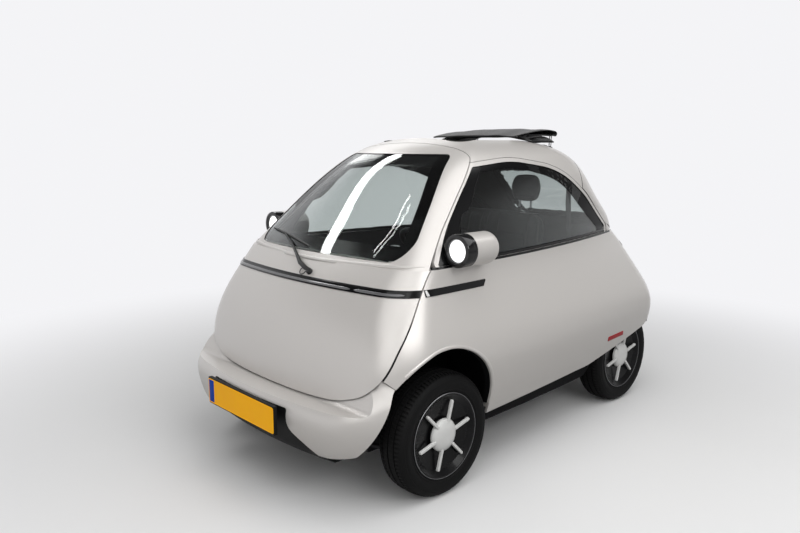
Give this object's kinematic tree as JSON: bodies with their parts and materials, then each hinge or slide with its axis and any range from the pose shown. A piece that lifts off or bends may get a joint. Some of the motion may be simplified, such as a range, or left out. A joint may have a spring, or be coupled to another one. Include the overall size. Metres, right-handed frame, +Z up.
{
  "type": "front-entry electric microcar",
  "caption": "Two-seat bubble microcar with a one-piece front door, round lamp pods on the waist, a folding fabric roof and a narrow rear track.",
  "frame": {"origin": "on the floor, under the middle of the bounding box", "axes": "+X forward, +Y to the car's left, +Z up"},
  "size_m": [2.5247, 1.466, 1.5279],
  "materials": {
    "battery_case": "satin",
    "black_plastic": "matte",
    "body_paint": "satin",
    "fabric_black": "woven",
    "floor_paint": "satin",
    "glass_clear": "polished",
    "gloss_black": "gloss",
    "lamp_lens": "polished",
    "mirror": "polished",
    "motor_alloy": "satin",
    "plate_face": "gloss",
    "rim_black": "gloss",
    "seat_cloth": "woven",
    "steel_dark": "satin",
    "tail_lens": "gloss",
    "trim_white": "gloss",
    "tyre_rubber": "matte"
  },
  "bodies": {
    "chassis": {"side_panel_left": "body_paint", "side_panel_right": "body_paint", "rear_panel": "body_paint", "roof_panel": "body_paint", "front_bumper": "body_paint", "front_valance": "black_plastic", "floor_pan": "floor_paint", "wheel_arch_liners": "black_plastic", "side_windows": "glass_clear", "waist_trims": "gloss_black", "side_strips": "gloss_black", "lamp_pods": "body_paint", "headlamps": "lamp_lens", "mirror_glasses": "mirror", "plate_holder": "black_plastic", "number_plate": "plate_face", "folding_roof": "fabric_black", "seat_cushion": "seat_cloth", "seat_back": "seat_cloth", "head_restraints": "seat_cloth", "dashboard": "black_plastic", "instrument": "gloss_black", "steering_column": "steel_dark", "battery_pack": "battery_case", "drive_motor": "motor_alloy", "front_subframe": "steel_dark", "upper_arms": "steel_dark", "front_dampers": "steel_dark", "rear_suspension": "steel_dark", "lamp_bezels": "gloss_black"},
    "front_door": {"door_panel": "body_paint", "light_bar": "gloss_black", "windscreen": "glass_clear", "wiper": "black_plastic"},
    "rear_hatch": {"hatch_panel": "body_paint", "rear_window": "glass_clear", "tail_light_bar": "tail_lens"},
    "steering": {"steering_wheel": "black_plastic"},
    "knuckle_left": {"steering_knuckle_left": "steel_dark"},
    "knuckle_right": {"steering_knuckle_right": "steel_dark"},
    "wheelset_front_left": {"tyre_front_left": "tyre_rubber", "wheel_front_left": "rim_black", "wheel_trim_front_left": "trim_white"},
    "wheelset_front_right": {"tyre_front_right": "tyre_rubber", "wheel_front_right": "rim_black", "wheel_trim_front_right": "trim_white"},
    "wheelset_rear_left": {"tyre_rear_left": "tyre_rubber", "wheel_rear_left": "rim_black", "wheel_trim_rear_left": "trim_white"},
    "wheelset_rear_right": {"tyre_rear_right": "tyre_rubber", "wheel_rear_right": "rim_black", "wheel_trim_rear_right": "trim_white"}
  },
  "joints": [
    {"name": "front_door_hinge", "type": "hinge", "parent": "chassis", "child": "front_door", "pos_m": [0.9195, 0.668, 0.7], "axis": [0, 0, 1], "range_deg": [0, 75]},
    {"name": "rear_hatch_hinge", "type": "hinge", "parent": "chassis", "child": "rear_hatch", "pos_m": [-0.5895, 0, 1.434], "axis": [0, 1, 0], "range_deg": [0, 72]},
    {"name": "steer_left", "type": "hinge", "parent": "chassis", "child": "knuckle_left", "pos_m": [0.6975, 0.562, 0.264], "axis": [0, 0, 1], "range_deg": [-30, 30]},
    {"name": "steer_right", "type": "hinge", "parent": "chassis", "child": "knuckle_right", "pos_m": [0.6975, -0.562, 0.264], "axis": [0, 0, 1], "range_deg": [-30, 30]},
    {"name": "steering_wheel_turn", "type": "hinge", "parent": "chassis", "child": "steering", "pos_m": [0.3575, 0.26, 0.913], "axis": [-0.6067, 0, 0.795], "range_deg": [-420, 420]},
    {"name": "front_left_spin", "type": "hinge", "parent": "knuckle_left", "child": "wheelset_front_left", "pos_m": [0.6975, 0.6175, 0.264], "axis": [0, 1, 0], "continuous": true},
    {"name": "front_right_spin", "type": "hinge", "parent": "knuckle_right", "child": "wheelset_front_right", "pos_m": [0.6975, -0.6175, 0.264], "axis": [0, 1, 0], "continuous": true},
    {"name": "rear_left_spin", "type": "hinge", "parent": "chassis", "child": "wheelset_rear_left", "pos_m": [-0.8675, 0.5095, 0.264], "axis": [0, 1, 0], "continuous": true},
    {"name": "rear_right_spin", "type": "hinge", "parent": "chassis", "child": "wheelset_rear_right", "pos_m": [-0.8675, -0.5095, 0.264], "axis": [0, 1, 0], "continuous": true}
  ],
  "couplings": [
    {"joint": "steer_right", "follows": "steer_left", "ratio": 1},
    {"joint": "steering_wheel_turn", "follows": "steer_left", "ratio": 14}
  ]
}
